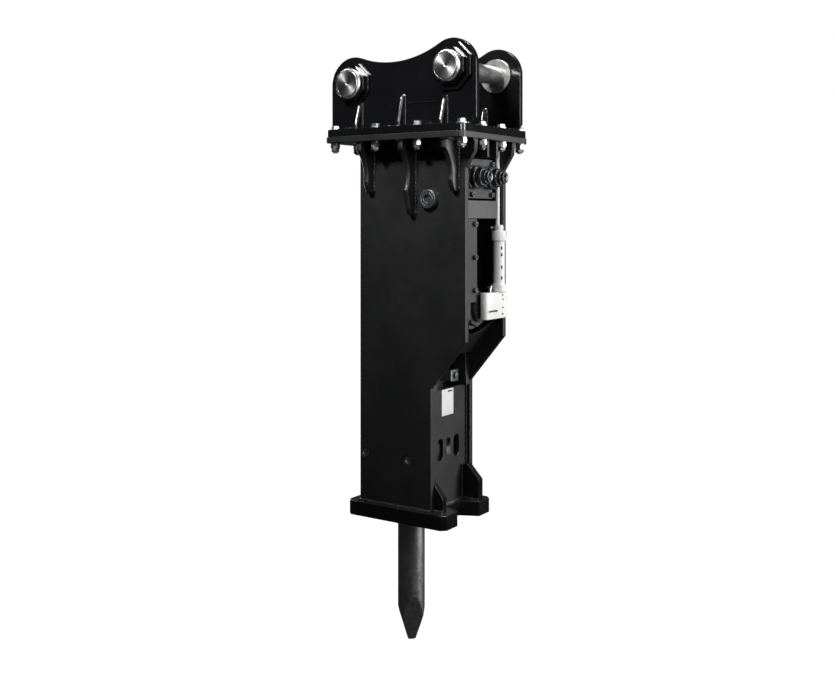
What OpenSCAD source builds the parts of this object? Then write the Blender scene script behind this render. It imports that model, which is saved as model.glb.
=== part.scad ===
// Hydraulic breaker hammer: pin-on top bracket, box housing and power cell.
// Millimetres, +Z up, +X towards the hose side, +Y along the bracket pins.
// The origin is the centre of the stick pin, from which the tool hangs.

/* [Bracket] */
// Diameter of both bracket pins
pin_d = 80; // [78:1:82]
// Distance along X from the stick pin to the link pin
pin_pitch = 509; // [500:1:515]
// How far the link pin sits below the stick pin
link_drop = 39; // [30:1:45]
// Clear width between the ear bosses
stick_gap = 330; // [328:1:332]
// Thickness of each ear plate
ear_t = 25; // [24:1:26]
// Radius of the round lobe of an ear about each pin
lobe_r = 120; // [118:1:122]

/* [Flanges] */
// Length of the bolted flanges along X
flange_l = 711; // [705:1:715]
// Width of the bolted flanges along Y
flange_w = 574; // [570:1:580]
// Thickness of the bracket's flange
bracket_flange_t = 32; // [30:1:34]
// Thickness of the housing's flange
housing_flange_t = 26; // [25:1:28]
// Thread size of the flange bolts
flange_bolt_d = 24; // [22:2:24]

/* [Housing] */
// Width of the housing over its side plates
housing_w = 344; // [342:1:346]
// Thickness of the side plates
side_t = 25; // [24:1:26]
// Thickness of the base plate at the foot
base_t = 63; // [60:1:66]

/* [Tool and power cell] */
// Diameter of the working tool
tool_d = 120; // [118:1:122]
// Width of the square power cell
cell_w = 250; // [246:2:254]
// How far the tool can be pushed up
tool_travel = 50; // [45:5:50]
// Stroke of the piston
piston_stroke = 90; // [80:5:90]

/* [Hidden] */
$fn = 64;
e = 0.05;                 // radial clearance of every running fit
gap = 0.3;                // clearance beside parts that slide

boss_t = 10;
ear_in = stick_gap / 2 + boss_t;
ear_out = ear_in + ear_t;
doubler_t = 12;
collar_t = 18;
head_t = 14;
face_t = 6;
collar_out = ear_out + doubler_t + collar_t;
pin_r = pin_d / 2;
pins = [[0, 0], [-pin_pitch, -link_drop]];

flange_x1 = 104;
flange_x0 = flange_x1 - flange_l;
flange_hw = flange_w / 2;
flange_top = -241;
seam_z = flange_top - bracket_flange_t;
flange_bot = seam_z - housing_flange_t;
flange_hole_d = flange_bolt_d + 2;
bolt_x = [-575, -357, -139, 79];
bolt_y = [-245, -82, 82, 245];
bolt_places = concat(
    [for (x = bolt_x) [x, bolt_y[0]]],
    [for (x = bolt_x) [x, bolt_y[3]]],
    [for (y = [bolt_y[1], bolt_y[2]]) [bolt_x[0], y]],
    [for (y = [bolt_y[1], bolt_y[2]]) [bolt_x[3], y]]);

tool_x = -336;
tool_r = tool_d / 2;
tip_z = -2508;
tip_half = 15;
broad_angle = 12.5;       // slope of the two broad facets
narrow_angle = 16.5;      // slope of the two narrow facets
function point_l(angle) = (tool_r - tip_half) / tan(angle);

side_out = housing_w / 2;
side_in = side_out - side_t;
box_x0 = -492;
box_x1 = 51;
foot_x1 = -120;
back_t = 20;
slant_top = -1146;
slant_bot = -1351;
base_top = -1875;
base_bot = base_top - base_t;
base_x0 = -548;
base_x1 = -36;
base_hw = 198;
notch_x = -118;

window_top = -1372;       // top edge of the lower front plate
lower_front_x = -140;
front_t = 20;
slot_y = 66;
slot_w = 46;
slot_h = 95;
retainer_z = -1632;
retainer_w = slot_w - 2;
retainer_h = slot_h - 2;
retainer_l = 240;
retainer_x0 = tool_x - 116;

cell_h = cell_w / 2;
cell_top = -350;
joint_a = -760;           // back head meets cylinder
joint_b = -1330;          // cylinder meets front head
cell_bot = -1868;
rod_o = 97;               // tie rod offset from the tool axis
rod_d = 34;
land_r = 62;
piston_r = 56;
tail_r = 52;
piston_bot = -1505;
tail_top = -660;
gas_room = 160;           // height left above the piston at the top of its stroke
tool_top = piston_bot - tool_travel - 5;
bush_out = 82;
upper_bush_top = -1478;
upper_bush_bot = -1560;
lower_bush_top = -1700;

port_z = -455;
port_y = 65;
port_end = 110;
thread_r = 12;
valve_x0 = tool_x + cell_h;
valve_x1 = 20;
valve_top = -375;
valve_bot = -545;
spool_r = 25;
spool_x = -140;
cross_top = -554;
cross_bot = -630;
buffer_x = -126;
buffer_z = -548;
buffer_r = 42;

acc_z = -1016;
acc_r = 92;
acc_x0 = tool_x + cell_h;

lube_x = 59;
lube_y = 94;
pump_x = 56;
tube_r = 26;
cap_r = 33;
neck_r = 21;
lube_top = -658;
cap_top = -683;
tube_top = -727;
tube_bot = -915;
pump_top = -948;
pump_bot = -1062;
pump_y0 = -36;
pump_y1 = 143;
plunger_r = 7;
plunger_y = 20;

// ---- shared shapes -------------------------------------------------------

// A straight cylinder along Y from y0 to y1 about (x, z).
module rod_y(x, z, r, y0, y1, sides = 64) {
    translate([x, y1, z]) rotate([90, 0, 0]) rotate([0, 0, 180 / sides])
        cylinder(h = y1 - y0, r = r, $fn = sides);
}

// A straight cylinder along X from x0 to x1 about (y, z).
module rod_x(y, z, r, x0, x1, sides = 64) {
    translate([x0, y, z]) rotate([0, 90, 0]) cylinder(h = x1 - x0, r = r, $fn = sides);
}

// A straight cylinder along Z.
module rod_z(x, y, r, z0, z1, sides = 64) {
    translate([x, y, z0]) cylinder(h = z1 - z0, r = r, $fn = sides);
}

// A box given by its two corners.
module block(a, b) {
    translate(a) cube([b[0] - a[0], b[1] - a[1], b[2] - a[2]]);
}

// An outline in X and Z, made a plate from y0 to y1.
module plate_y(y0, y1) {
    translate([0, y1, 0]) rotate([90, 0, 0]) linear_extrude(y1 - y0) children();
}

// The corner radius of an octagon given by its width across flats.
function oct_r(flats) = flats / 2 / cos(22.5);
// The corner radius of a hexagon given by its width across flats.
function hex_r(flats) = flats / 2 / cos(30);

// A rectangle with round corners.
module round_rect(x0, x1, y0, y1, r) {
    translate([x0 + r, y0]) square([x1 - x0 - 2 * r, y1 - y0]);
    translate([x0, y0 + r]) square([x1 - x0, y1 - y0 - 2 * r]);
    for (x = [x0 + r, x1 - r], y = [y0 + r, y1 - r]) translate([x, y]) circle(r);
}

// An upright slot outline with round ends, centred on the origin.
module obround(w, h) {
    translate([-w / 2, -(h - w) / 2]) square([w, h - w]);
    for (s = [-1, 1]) translate([0, s * (h - w) / 2]) circle(w / 2);
}

// A socket screw along +X: its head starts at x and its shank runs back by l.
module screw_x(x, y, z, d, l) {
    difference() {
        union() {
            rod_x(y, z, d / 2, x - l, x + 1);
            rod_x(y, z, 0.8 * d, x, x + d);
        }
        rod_x(y, z, hex_r(0.8 * d), x + 0.5 * d, x + d + 1, 6);
    }
}

// ---- bracket -------------------------------------------------------------

module flange_outline(x0, x1, hw) {
    difference() {
        round_rect(x0, x1, -hw, hw, 30);
        for (p = bolt_places) translate(p) circle(d = flange_hole_d);
    }
}

module bracket_flange() {
    color("#16171a") translate([0, 0, seam_z])
        linear_extrude(bracket_flange_t) flange_outline(flange_x0 + 3, flange_x1 - 3, flange_hw - 3);
}

// The saddle between the lobes is an arc tangent to both of them.
saddle_r = 500;
pin_vec = pins[1] - pins[0];
pin_dist = norm(pin_vec);
pin_dir = pin_vec / pin_dist;
saddle_rise = sqrt(pow(saddle_r + lobe_r, 2) - pow(pin_dist / 2, 2));
saddle_c = pin_vec / 2 + saddle_rise * [pin_dir[1], -pin_dir[0]];

function heading(from, to) = atan2((to - from)[1], (to - from)[0]);
function arc(c, r, a0, a1, n) = [for (i = [0:n]) let (a = a0 + (a1 - a0) * i / n) c + r * [cos(a), sin(a)]];
lobe_steps = 36;
saddle_steps = 40;
ear_outline = concat([[flange_x0 + 4, flange_top], [pins[1][0] - lobe_r, flange_top + 24]],
    arc(pins[1], lobe_r, 180, heading(pins[1], saddle_c), lobe_steps),
    arc(saddle_c, saddle_r, heading(saddle_c, pins[1]) + 1, heading(saddle_c, pins[0]) - 1, saddle_steps),
    arc(pins[0], lobe_r, heading(pins[0], saddle_c), 0, lobe_steps),
    [[lobe_r, flange_top + 24], [flange_x1 - 4, flange_top]]);

module ear_plate(y0) {
    color("#141518") difference() {
        plate_y(y0, y0 + ear_t) polygon(ear_outline);
        for (p = pins) rod_y(p[0], p[1], pin_r + e, y0 - 1, y0 + ear_t + 1);
    }
}
module ear_plate_right() ear_plate(-ear_out);
module ear_plate_left() ear_plate(ear_in);

// An octagonal plate about a pin, on both ears, from a to b outside the centre.
module both_ears(a, b) {
    plate_y(-b, -a) children();
    plate_y(a, b) children();
}

module ear_doublers() {
    color("#17181b") both_ears(ear_out, ear_out + doubler_t) for (i = [0, 1]) translate(pins[i])
        difference() {
            rotate(22.5) circle(oct_r(i == 0 ? 196 : 176), $fn = 8);
            circle(pin_r + e);
        }
}

lock_z = oct_r(150) * cos(22.5);
lock_r = 8;

module pin_collars() {
    color("#1a1b1e") both_ears(ear_out + doubler_t, collar_out) for (p = pins) translate(p)
        difference() {
            rotate(22.5) circle(oct_r(150), $fn = 8);
            circle(pin_r + e);
            translate([-lock_r - e, 0]) square([2 * lock_r + 2 * e, lock_z + 1]);
        }
}

module ear_inner_bosses() {
    color("#8d9094") both_ears(stick_gap / 2, ear_in) for (p = pins) translate(p)
        difference() {
            circle(75);
            circle(pin_r + e);
        }
}

// Headless screws that clamp each pin from the top of its far collar.
module pin_lock_screws() {
    y = ear_out + doubler_t + collar_t / 2;
    color("#55585c") for (p = pins) difference() {
        rod_z(p[0], y, lock_r, p[1] + pin_r + 2 * e, p[1] + lock_z + 6);
        rod_z(p[0], y, hex_r(8), p[1] + lock_z - 2, p[1] + lock_z + 7, 6);
    }
}

gusset_x = [-470, -244, -31];
gusset_rise = [114, 138, 118];
gusset_reach = 46;

// A thin upright gusset with a narrow nose, leaning on a wall at y = 0.
module gusset(rise, reach, t) {
    rotate([90, 0, 90]) translate([0, 0, -t / 2]) linear_extrude(t)
        polygon([[0, 0], [reach, 0], [reach, 16], [18, rise - 8], [12, rise], [0, rise]]);
}

module bracket_gussets() {
    color("#1b1c1f") {
        for (i = [0, 1, 2]) {
            translate([gusset_x[i], ear_out, flange_top]) gusset(gusset_rise[i], gusset_reach, 22);
            translate([gusset_x[i], -ear_out, flange_top]) mirror([0, 1, 0])
                gusset(gusset_rise[i], gusset_reach, 22);
        }
        for (x = [-450, -255, -60]) {
            translate([x, -ear_in, flange_top]) gusset(100, 44, 22);
            translate([x, ear_in, flange_top]) mirror([0, 1, 0]) gusset(100, 44, 22);
        }
    }
}

groove_w = 5;
module bracket_pin(p) {
    y_out = -collar_out;
    difference() {
        union() {
            rod_y(p[0], p[1], pin_r, y_out - 1, collar_out + 2);
            rod_y(p[0], p[1], 67, y_out - head_t, y_out - gap);
            rod_y(p[0], p[1], 46, y_out - head_t - face_t, y_out - head_t + 1);
        }
        for (s = [-1, 1]) translate([p[0], s * (stick_gap / 2 - groove_w / 2), p[1]])
            rotate([90, 0, 0]) difference() {
                cylinder(h = groove_w, r = pin_r + 1, center = true);
                cylinder(h = groove_w + 1, r = pin_r - 1.5, center = true);
            }
    }
}
module stick_pin() { color("#a9abad") bracket_pin(pins[0]); }
module link_pin() { color("#a9abad") bracket_pin(pins[1]); }

// ---- flange fasteners ----------------------------------------------------

washer_t = 4;
nut_h = 20;
lock_h = 14;
stud_out = washer_t + nut_h + lock_h + 6;

module flange_bolts() {
    color("#9a9da0") for (p = bolt_places) {
        rod_z(p[0], p[1], flange_bolt_d / 2, flange_bot - stud_out, flange_top + washer_t + 1);
        rod_z(p[0], p[1], hex_r(32), flange_top + washer_t, flange_top + washer_t + 14, 6);
    }
}

// A ring about each flange bolt between two heights.
module bolt_rings(r, z0, z1, sides = 64) {
    for (p = bolt_places) difference() {
        rod_z(p[0], p[1], r, z0, z1, sides);
        rod_z(p[0], p[1], flange_bolt_d / 2 + 0.2, z0 - 1, z1 + 1);
    }
}

module flange_washers() {
    color("#8b8e92") {
        bolt_rings(21, flange_top, flange_top + washer_t);
        bolt_rings(21, flange_bot - washer_t, flange_bot);
    }
}
module flange_nuts() {
    color("#b5b8bb") bolt_rings(hex_r(36), flange_bot - washer_t - nut_h, flange_bot - washer_t, 6);
}
module flange_lock_nuts() {
    z = flange_bot - washer_t - nut_h;
    color("#6d7074") bolt_rings(hex_r(34), z - lock_h, z, 6);
}

// ---- housing -------------------------------------------------------------

damper_hx = 110;
module housing_flange() {
    color("#202124") translate([0, 0, flange_bot]) linear_extrude(housing_flange_t) difference() {
        flange_outline(flange_x0, flange_x1, flange_hw);
        translate([tool_x, 0]) round_rect(-damper_hx, damper_hx, -damper_hx, damper_hx, 12);
    }
}

module side_outline() {
    polygon([[box_x0, flange_bot], [box_x0, base_top], [foot_x1, base_top], [foot_x1, slant_bot],
        [box_x1, slant_top], [box_x1, -420], [94, -352], [98, flange_bot]]);
}

retainer_screw_places = [[-466, -1661], [-237, -1667]];
guide_r = 20;
module side_plate(y0) {
    color("#1d1e21") difference() {
        plate_y(y0, y0 + side_t) side_outline();
        rod_y(buffer_x, buffer_z, buffer_r + 0.5, y0 - 1, y0 + side_t + 1);
        for (p = retainer_screw_places) rod_y(p[0], p[1], guide_r, y0 - 1, y0 + side_t + 1);
    }
}
module side_plate_right() side_plate(-side_out);
module side_plate_left() side_plate(side_in);

// Side plugs over the guides, the strip's screws, the plug that locks the retaining
// pins and a small drilled grease block on the front head.
module housing_plugs() {
    color("#3a3c40") {
        for (p = retainer_screw_places, s = [-1, 1])
            rod_y(p[0], p[1], guide_r - 0.5, s > 0 ? side_in : -side_out + 3,
                s > 0 ? side_out - 3 : -side_in);
        for (z = strip_screw_z) screw_x(strip_x1, strip_screw_y, z, 14, 12);
        block([lower_front_x, -22, -1662], [lower_front_x + 4, 12, -1626]);
        block([tool_x + cell_h, 40, -1352], [-152, 104, -1300]);
        rod_x(72, -1325, 14, -153, -140);
    }
}

module back_plate() {
    color("#1d1e21") block([box_x0 + 4, -side_in, base_top], [box_x0 + 4 + back_t, side_in, flange_bot]);
}

// A rib under the flange that leans on a side plate and narrows downwards.
rib_reach = 105;
module rib(depth, t) {
    rotate([90, 0, 90]) translate([0, 0, -t / 2]) linear_extrude(t)
        difference() {
            polygon([[0, 0], [rib_reach, 0], [rib_reach, -40], [44, -depth + 24],
                [30, -depth], [0, -depth]]);
            translate([rib_reach + 85, -150]) circle(140, $fn = 96);
        }
}

rib_x = [-428, -211, 5];
rib_depth = [219, 316, 217];
module flange_ribs() {
    color("#1c1d20") for (i = [0, 1, 2]) {
        translate([rib_x[i], side_out, flange_bot]) rib(rib_depth[i], 26);
        translate([rib_x[i], -side_out, flange_bot]) mirror([0, 1, 0]) rib(rib_depth[i], 26);
    }
    color("#1c1d20") for (y = [-46, 30]) plate_y(y, y + 16)
        polygon([[valve_x1, flange_bot], [92, flange_bot], [86, -345], [60, -372], [valve_x1, -372]]);
}

module cross_plate() {
    color("#5d6064") block([26, -side_in, cross_bot], [44, 108, cross_top]);
}

// The upright strip beside the lubricator, with the screws that hold it.
strip_y1 = -50;
strip_x1 = 35;
strip_screw_y = -73;
strip_screw_z = [-654, -795, -934];
module front_strip() {
    color("#232427") difference() {
        block([strip_x1 - 12, -side_in, -985], [strip_x1, strip_y1, cross_bot]);
        for (z = strip_screw_z) rod_x(strip_screw_y, z, 8, 0, 50);
    }
}

cradle_r = 116;
cradle_y = 22;
cradle_z = -1014;
upper_front_x = 30;
slant_from = -1059;       // where the upper front plate gives way to the slanted one
slant_to = [-101, -1224];

// The round opening that clears the accumulator.
module cradle() {
    rod_x(cradle_y, cradle_z, cradle_r, -120, 60, 96);
    block([-120, cradle_y - cradle_r, cradle_z], [60, cradle_y + cradle_r, -980]);
}

module upper_front_plate() {
    color("#1d1e21") difference() {
        block([upper_front_x - front_t, -side_in, slant_from], [upper_front_x, side_in, -985]);
        cradle();
    }
}

// The slanted plate runs parallel to the side plates' slanted edge, well inside it.
module slanted_front_plate() {
    color("#1d1e21") difference() {
        plate_y(-side_in, side_in) polygon([[upper_front_x, slant_from], slant_to,
            [slant_to[0] - front_t, slant_to[1]], [upper_front_x - front_t, slant_from]]);
        cradle();
    }
}

// Narrow ribs that close the window's sides, from the slanted plate to the lower one.
rib_w = 29;
module window_ribs() {
    for (y = [-side_in, side_in - rib_w]) plate_y(y, y + rib_w)
        polygon([[-190, window_top], [-121, window_top], [-127, slant_to[1] - 4], [-190, slant_to[1] - 4]]);
}

module lower_front_plate() {
    color("#1f2023") window_ribs();
    color("#1f2023") difference() {
        block([lower_front_x - front_t, -side_in, base_top], [lower_front_x, side_in, window_top]);
        for (s = [-1, 1])
            slot_x(s * slot_y, retainer_z, slot_w, slot_h, lower_front_x - 30, lower_front_x + 10);
        rod_x(0, -1606, 17, lower_front_x - 30, lower_front_x + 10);
    }
}

// An upright obround prism along X about (y, z).
module slot_x(y, z, w, h, x0, x1) {
    translate([x0, y, z]) rotate([90, 0, 90]) linear_extrude(x1 - x0) obround(w, h);
}

module rating_plate() {
    color("#e9e9e6") block([lower_front_x, -56, -1488], [lower_front_x + 2, 38, -1374]);
}

module base_outline() {
    c = 22;
    polygon([[base_x0 + c, -base_hw], [base_x1 - c, -base_hw], [base_x1, -base_hw + c],
        [base_x1, -92], [notch_x, -54], [notch_x, 54], [base_x1, 92],
        [base_x1, base_hw - c], [base_x1 - c, base_hw], [base_x0 + c, base_hw],
        [base_x0, base_hw - c], [base_x0, -base_hw + c]]);
}

module base_plate() {
    color("#1b1c1f") translate([0, 0, base_bot]) linear_extrude(base_t) difference() {
        base_outline();
        translate([tool_x, 0]) circle(tool_r + 16);
    }
}

// Two gussets on the base, the one on the port side higher and longer.
module base_gussets() {
    color("#1c1d20") {
        plate_y(-side_in, -side_in + 32) polygon([[lower_front_x, base_top], [lower_front_x, -1760],
            [-122, -1760], [-76, -1818], [-76, base_top]]);
        plate_y(side_in - 36, side_in) polygon([[lower_front_x, base_top], [lower_front_x, -1722],
            [-112, -1722], [-52, -1785], [-52, base_top]]);
    }
}

module side_buffer_plugs() {
    color("#34363a") for (s = [-1, 1]) {
        a = s > 0 ? side_in : -side_out - 22;
        difference() {
            rod_y(buffer_x, buffer_z, buffer_r, a, a + side_t + 22);
            rod_y(buffer_x, buffer_z, hex_r(36), s > 0 ? side_out + 12 : -side_out - 23,
                s > 0 ? side_out + 23 : -side_out - 12, 6);
        }
    }
}

module cell_dampers() {
    color("#101113") {
        translate([0, 0, cell_top]) linear_extrude(seam_z - cell_top) translate([tool_x, 0])
            round_rect(-damper_hx + 1, damper_hx - 1, -damper_hx + 1, damper_hx - 1, 12);
        difference() {
            block([tool_x - cell_h, -cell_h, base_top], [tool_x + cell_h, cell_h, cell_bot]);
            rod_z(tool_x, 0, tool_r + 16, base_top - 1, cell_bot + 1);
        }
    }
}

// Wear guides that centre the power cell between the side plates.
module side_guides() {
    color("#1f3a2c") for (z = [-700, -1450], s = [-1, 1])
        block([tool_x - 60, s > 0 ? cell_h : -side_in, z - 120],
            [tool_x + 60, s > 0 ? side_in : -cell_h, z]);
}

// ---- power cell ----------------------------------------------------------

module cell_block(z0, z1) {
    difference() {
        translate([0, 0, z0]) linear_extrude(z1 - z0)
            translate([tool_x, 0]) round_rect(-cell_h, cell_h, -cell_h, cell_h, 20);
        for (sx = [-1, 1], sy = [-1, 1])
            rod_z(tool_x + sx * rod_o, sy * rod_o, rod_d / 2 + 0.5, z0 - 1, z1 + 1);
    }
}

module back_head() {
    color("#2a2c30") difference() {
        cell_block(joint_a, cell_top);
        rod_z(tool_x, 0, tail_r + 4, joint_a - 1, tail_top + piston_stroke + gas_room);
        nut_pockets(cell_top - 40, cell_top + 1);
    }
}

module nut_pockets(z0, z1) {
    for (sx = [-1, 1], sy = [-1, 1]) rod_z(tool_x + sx * rod_o, sy * rod_o, 26, z0, z1);
}

module cylinder_bore(z0, z1, r) {
    rod_z(tool_x, 0, r, z0, z1);
}

module cylinder_block() {
    color("#303338") difference() {
        cell_block(joint_b, joint_a);
        cylinder_bore(joint_b - 1, joint_b + 90, piston_r + 3);
        cylinder_bore(joint_b + 80, joint_a - 90, land_r + e);
        cylinder_bore(joint_a - 100, joint_a + 1, tail_r + 14);
    }
}

module seal_carrier() {
    color("#8a7a4a") difference() {
        rod_z(tool_x, 0, tail_r + 14, joint_a - 90, joint_a);
        rod_z(tool_x, 0, tail_r + e, joint_a - 91, joint_a + 1);
    }
}

module front_head() {
    color("#2a2c30") difference() {
        translate([0, 0, cell_bot]) linear_extrude(joint_b - cell_bot)
            translate([tool_x, 0]) round_rect(-cell_h, cell_h, -cell_h, cell_h, 20);
        for (sx = [-1, 1], sy = [-1, 1])
            rod_z(tool_x + sx * rod_o, sy * rod_o, rod_d / 2 + 0.5, -1480, joint_b + 1);
        rod_z(tool_x, 0, piston_r + 3, upper_bush_top - 1, joint_b + 1);
        rod_z(tool_x, 0, bush_out, upper_bush_bot, upper_bush_top);
        rod_z(tool_x, 0, tool_r + 3, lower_bush_top - 1, upper_bush_bot + 1);
        rod_z(tool_x, 0, bush_out, cell_bot - 1, lower_bush_top);
        for (s = [-1, 1]) slot_x(s * slot_y, retainer_z, retainer_w + 2 * gap, retainer_h + 2 * gap,
            retainer_x0 - 1, tool_x + cell_h + 1);
        rod_x(0, -1606, 15, tool_x + 88, tool_x + cell_h + 1);
    }
}

module tie_rods() {
    color("#7d8084") for (sx = [-1, 1], sy = [-1, 1])
        rod_z(tool_x + sx * rod_o, sy * rod_o, rod_d / 2, -1479, cell_top - 4);
}

module tie_rod_nuts() {
    color("#6a6d71") for (sx = [-1, 1], sy = [-1, 1]) difference() {
        rod_z(tool_x + sx * rod_o, sy * rod_o, hex_r(44), cell_top - 40, cell_top - 8, 6);
        rod_z(tool_x + sx * rod_o, sy * rod_o, rod_d / 2 + e, cell_top - 41, cell_top - 7);
    }
}

module piston() {
    color("#b9bcbf") {
        rod_z(tool_x, 0, piston_r, piston_bot, -1139);
        difference() {
            rod_z(tool_x, 0, land_r, -1140, -980);
            for (z = [-1100, -1060, -1020]) difference() {
                rod_z(tool_x, 0, land_r + 1, z - 3, z + 3);
                rod_z(tool_x, 0, land_r - 3, z - 4, z + 4);
            }
        }
        rod_z(tool_x, 0, tail_r, -981, tail_top);
    }
}

module tool_bush(z0, z1) {
    difference() {
        rod_z(tool_x, 0, bush_out, z0, z1);
        rod_z(tool_x, 0, tool_r + e, z0 - 1, z1 + 1);
    }
}
module upper_bush() { color("#9c8b52") tool_bush(upper_bush_bot, upper_bush_top); }
module lower_bush() { color("#84868a") tool_bush(cell_bot, lower_bush_top); }

// Outline of the pointed end: a straight bar that tapers to a blunt tip.
bar_join = tip_z + point_l(broad_angle) + 60;
module point_outline(angle) {
    z = tip_z + point_l(angle);
    plate_y(-100, 100) polygon([[-tool_r - 1, bar_join + 2], [-tool_r - 1, z], [-tool_r, z],
        [-tip_half, tip_z], [tip_half, tip_z], [tool_r, z], [tool_r + 1, z],
        [tool_r + 1, bar_join + 2]]);
}

retainer_flat = slot_y - retainer_w / 2 - gap;
module tool() {
    color("#45474a") translate([tool_x, 0, 0]) difference() {
        union() {
            rod_z(0, 0, tool_r, bar_join, tool_top);
            intersection() {
                rod_z(0, 0, tool_r, tip_z, bar_join + 1);
                rotate([0, 0, -45]) point_outline(broad_angle);
                rotate([0, 0, 45]) point_outline(narrow_angle);
            }
        }
        for (s = [-1, 1]) block([-tool_r - 1, s > 0 ? retainer_flat : -tool_r - 1,
            retainer_z - retainer_h / 2 - tool_travel - 4],
            [tool_r + 1, s > 0 ? tool_r + 1 : -retainer_flat, retainer_z + retainer_h / 2 + gap]);
    }
}

module retainer_pin(s) {
    color("#77797c") slot_x(s * slot_y, retainer_z, retainer_w, retainer_h,
        retainer_x0, retainer_x0 + retainer_l);
}
module retainer_pin_right() retainer_pin(-1);
module retainer_pin_left() retainer_pin(1);

module retainer_stop_pin() {
    color("#8a8c8f") rod_x(0, -1606, 14.5, tool_x + 90, lower_front_x - front_t - 4);
}

// ---- valve and accumulator -----------------------------------------------

module valve_block() {
    color("#26282b") difference() {
        block([valve_x0, -105, valve_bot], [valve_x1, 105, valve_top]);
        rod_z(spool_x, 0, spool_r + e, valve_bot + 30, valve_top + 1);
        for (s = [-1, 1]) rod_x(s * port_y, port_z, 20, valve_x0 + 70, valve_x1 + 1);
    }
}

module valve_spool() {
    color("#b4b7ba") difference() {
        rod_z(spool_x, 0, spool_r, valve_bot + 40, valve_top - 20);
        for (z = [-500, -455, -415]) difference() {
            rod_z(spool_x, 0, spool_r + 1, z - 8, z + 8);
            rod_z(spool_x, 0, spool_r - 7, z - 9, z + 9);
        }
    }
}

module valve_cap() {
    color("#303236") {
        rod_z(spool_x, 0, 46, valve_top, valve_top + 22);
        rod_z(spool_x, 0, hex_r(40), valve_top + 21, valve_top + 36, 6);
    }
}

acc_seam = acc_x0 + 130;
acc_y = 4;
module accumulator_base() {
    color("#2b2d31") difference() {
        rod_x(acc_y, acc_z, acc_r, acc_x0, acc_seam, 96);
        rod_x(acc_y, acc_z, acc_r - 30, acc_x0 + 30, acc_seam + 1, 96);
    }
}

module accumulator_cover() {
    color("#2f3135") difference() {
        union() {
            rod_x(acc_y, acc_z, acc_r, acc_seam, acc_seam + 56, 96);
            rod_x(acc_y, acc_z, acc_r - 16, acc_seam + 55, acc_seam + 86, 96);
            rod_x(acc_y, acc_z, acc_r - 34, acc_seam + 85, acc_seam + 106, 96);
        }
        rod_x(acc_y, acc_z, acc_r - 40, acc_seam - 1, acc_seam + 70, 96);
    }
}

module accumulator_screws() {
    color("#5a5d61") for (a = [22.5:45:337.5])
        rod_x(acc_y + 84 * cos(a), acc_z + 84 * sin(a), 7, acc_seam + 56, acc_seam + 66);
}

// ---- hose ports ----------------------------------------------------------

// A stepped adapter: rings of falling radius, with an open threaded mouth.
port_steps = [[52, 14], [44, 12], [49, 12], [36, 14], [40, 10], [30, 16], [24, 12]];
function step_x(i) = i == 0 ? valve_x1 : step_x(i - 1) + port_steps[i - 1][1];
module port_adapter(y) {
    color("#3b3d41") difference() {
        union() {
            rod_x(y, port_z, 19.5, valve_x1 - 40, valve_x1 + 1);
            for (i = [0:len(port_steps) - 1])
                rod_x(y, port_z, port_steps[i][0], step_x(i), step_x(i) + port_steps[i][1]);
        }
        rod_x(y, port_z, thread_r, port_end - 30, port_end + 1);
        rod_x(y, port_z, 9, valve_x1 - 41, port_end - 29);
    }
}
module port_adapter_pressure() port_adapter(-port_y);
module port_adapter_return() port_adapter(port_y);

module port_flange_screws() {
    color("#6f7276") for (p = [[-73, -528], [92, -528], [-97, -395], [97, -395]])
        screw_x(valve_x1, p[0], p[1], 14, 0);
}

// ---- automatic lubricator ------------------------------------------------

module lubricator_tube() {
    color("#f2f2ee") difference() {
        rod_z(lube_x, lube_y, tube_r, tube_bot, tube_top);
        rod_z(lube_x, lube_y, tube_r - 4, tube_bot - 1, tube_top + 1);
    }
}

module lubricator_caps() {
    color("#f4f4f1") {
        rod_z(lube_x, lube_y, cap_r, tube_top, cap_top);
        rod_z(lube_x, lube_y, neck_r, cap_top - 1, lube_top);
        rod_z(lube_x, lube_y, cap_r, pump_top, tube_bot);
    }
}

module lubricator_follower() {
    color("#30343a") rod_z(lube_x, lube_y, tube_r - 4 - gap, tube_top - 42, tube_top - 30);
}

module lubricator_pump() {
    color("#efefec") difference() {
        block([pump_x - 22, pump_y0, pump_bot], [pump_x + 18, pump_y1, pump_top]);
        rod_z(pump_x, plunger_y, plunger_r + e, pump_bot + 60, pump_top + 1);
    }
}

module lubricator_plunger() {
    color("#c9cbcd") {
        rod_z(pump_x, plunger_y, plunger_r, pump_bot + 75, pump_top + 20);
        rod_z(pump_x, plunger_y, 12, pump_top + 19, pump_top + 28);
    }
}

// Two arms that hold the pump and the upper cap from the side plate.
module lubricator_bracket() {
    color("#232427") difference() {
        union() {
            block([upper_front_x, 112, -1050], [pump_x - 22, side_in, -960]);
            block([48, 100, -704], [70, side_in, -684]);
        }
        rod_z(lube_x, lube_y, cap_r + e, -710, -680);
    }
}

// The grease supply pipe comes down beside the return port to the upper cap.
line_x = 30;
line_y = 134;
module lube_line() {
    color("#e6e7e4") {
        rod_z(line_x, line_y, 9, -681, flange_bot);
        rod_y(line_x, -671, 7, 94, line_y);
        rod_x(94, -671, 7, line_x - 7, lube_x - neck_r - 0.2);
    }
}

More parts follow.
